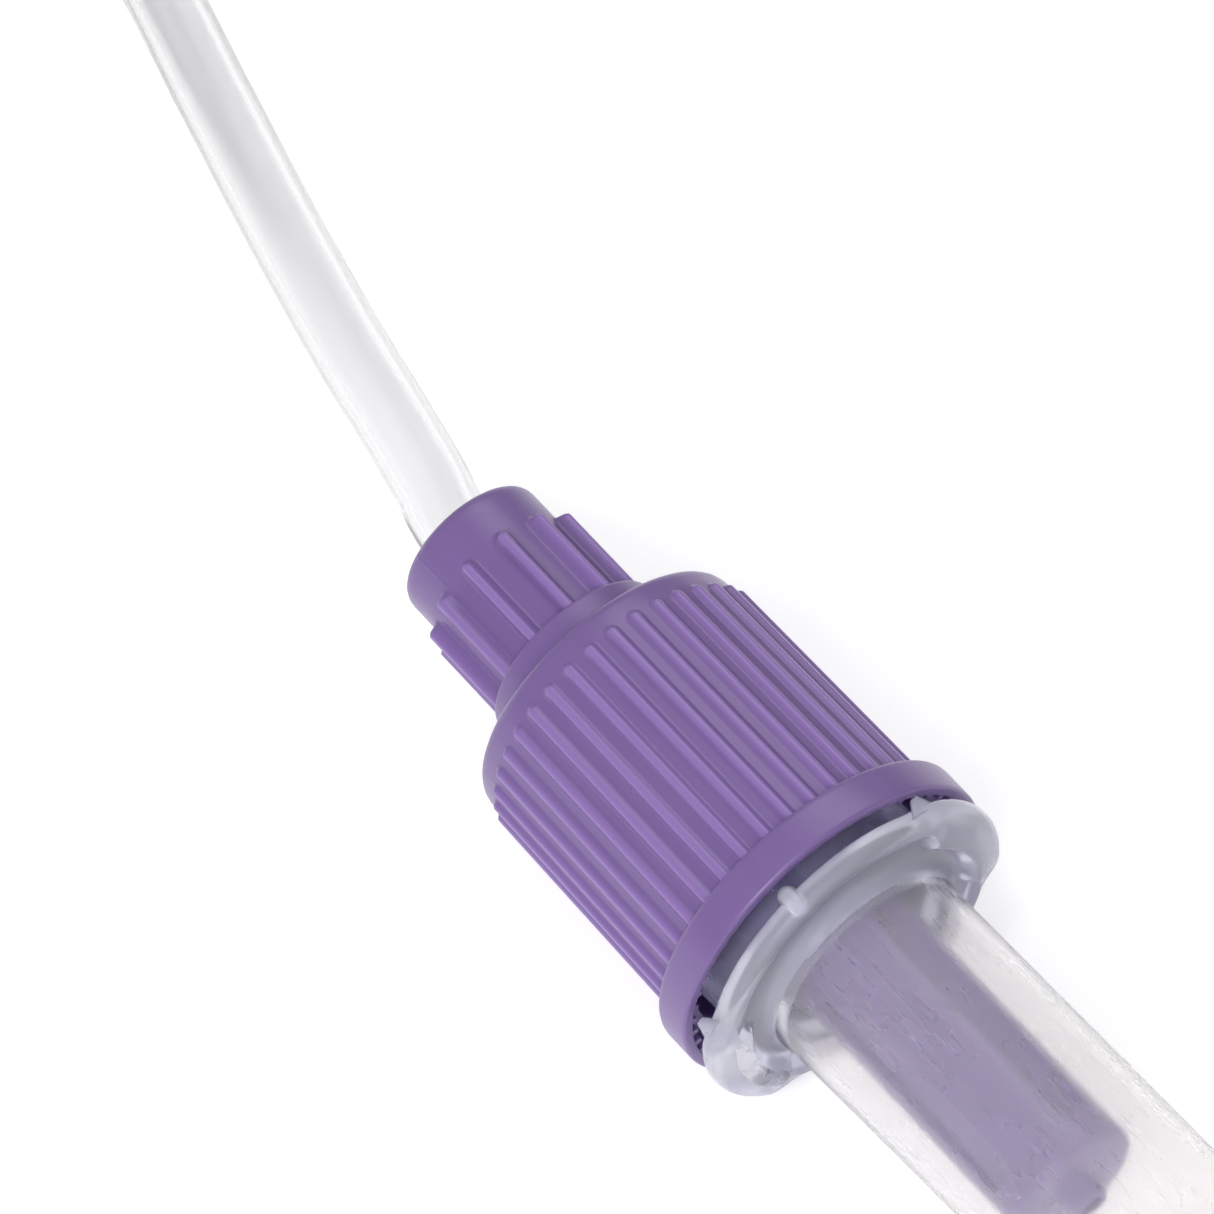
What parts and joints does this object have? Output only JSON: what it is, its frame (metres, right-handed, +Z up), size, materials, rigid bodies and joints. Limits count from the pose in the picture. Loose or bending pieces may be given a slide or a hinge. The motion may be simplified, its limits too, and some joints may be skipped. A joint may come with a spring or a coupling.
{
  "type": "enteral giving-set connector",
  "caption": "Enteral feeding set end: ribbed screw cap with spike and frosted cover, clear tube in a tied hank, roller clamp and patient connector.",
  "frame": {"origin": "under the middle of the screw cap, spike and cover, on the surface they lie on", "axes": "+X along the head from the tube's collar to the cover's tip, +Z up; the tube runs off to -X"},
  "size_m": [0.3668, 0.069, 0.0362],
  "materials": {
    "purple_plastic": "moulded, satin gloss",
    "frosted_cover": "translucent, fine frosted",
    "clear_tube": "clear, smooth gloss",
    "white_plastic": "moulded, satin",
    "washer": "matt",
    "tie": "matt band"
  },
  "bodies": {
    "root": {"spike": "purple_plastic", "ribbed_collar": "purple_plastic", "sealing_washer": "washer", "feed_tube": "clear_tube", "tube_hank": "clear_tube", "hank_tie_a": "tie", "hank_tie_b": "tie", "tube_tail": "clear_tube", "clamped_tube": "clear_tube", "tube_end": "clear_tube", "clamp_body": "white_plastic", "connector_hub": "purple_plastic"},
    "screw_cap": {"screw_cap": "purple_plastic"},
    "cover": {"protective_cover": "frosted_cover"},
    "roller": {"clamp_roller": "purple_plastic"},
    "lock_ring": {"connector_lock_ring": "purple_plastic"},
    "end_cap": {"connector_cap": "white_plastic"}
  },
  "joints": [
    {"name": "cap_turn", "type": "hinge", "parent": "root", "child": "screw_cap", "pos_m": [0, 0, 0.0174], "axis": [1, 0, 0], "continuous": true},
    {"name": "cover_pull", "type": "slide", "parent": "root", "child": "cover", "axis": [1, 0, 0], "range_m": [0, 0.06]},
    {"name": "roller_slide", "type": "slide", "parent": "root", "child": "roller", "axis": [0.9791, 0, -0.2034], "range_m": [0, 0.02655], "deforming": ["clamped_tube"]},
    {"name": "lock_ring_turn", "type": "hinge", "parent": "root", "child": "lock_ring", "pos_m": [-0.2, -0.02595, 0.0234], "axis": [1, 0, 0], "continuous": true},
    {"name": "end_cap_pull", "type": "slide", "parent": "root", "child": "end_cap", "axis": [1, 0, 0], "range_m": [0, 0.02]}
  ]
}
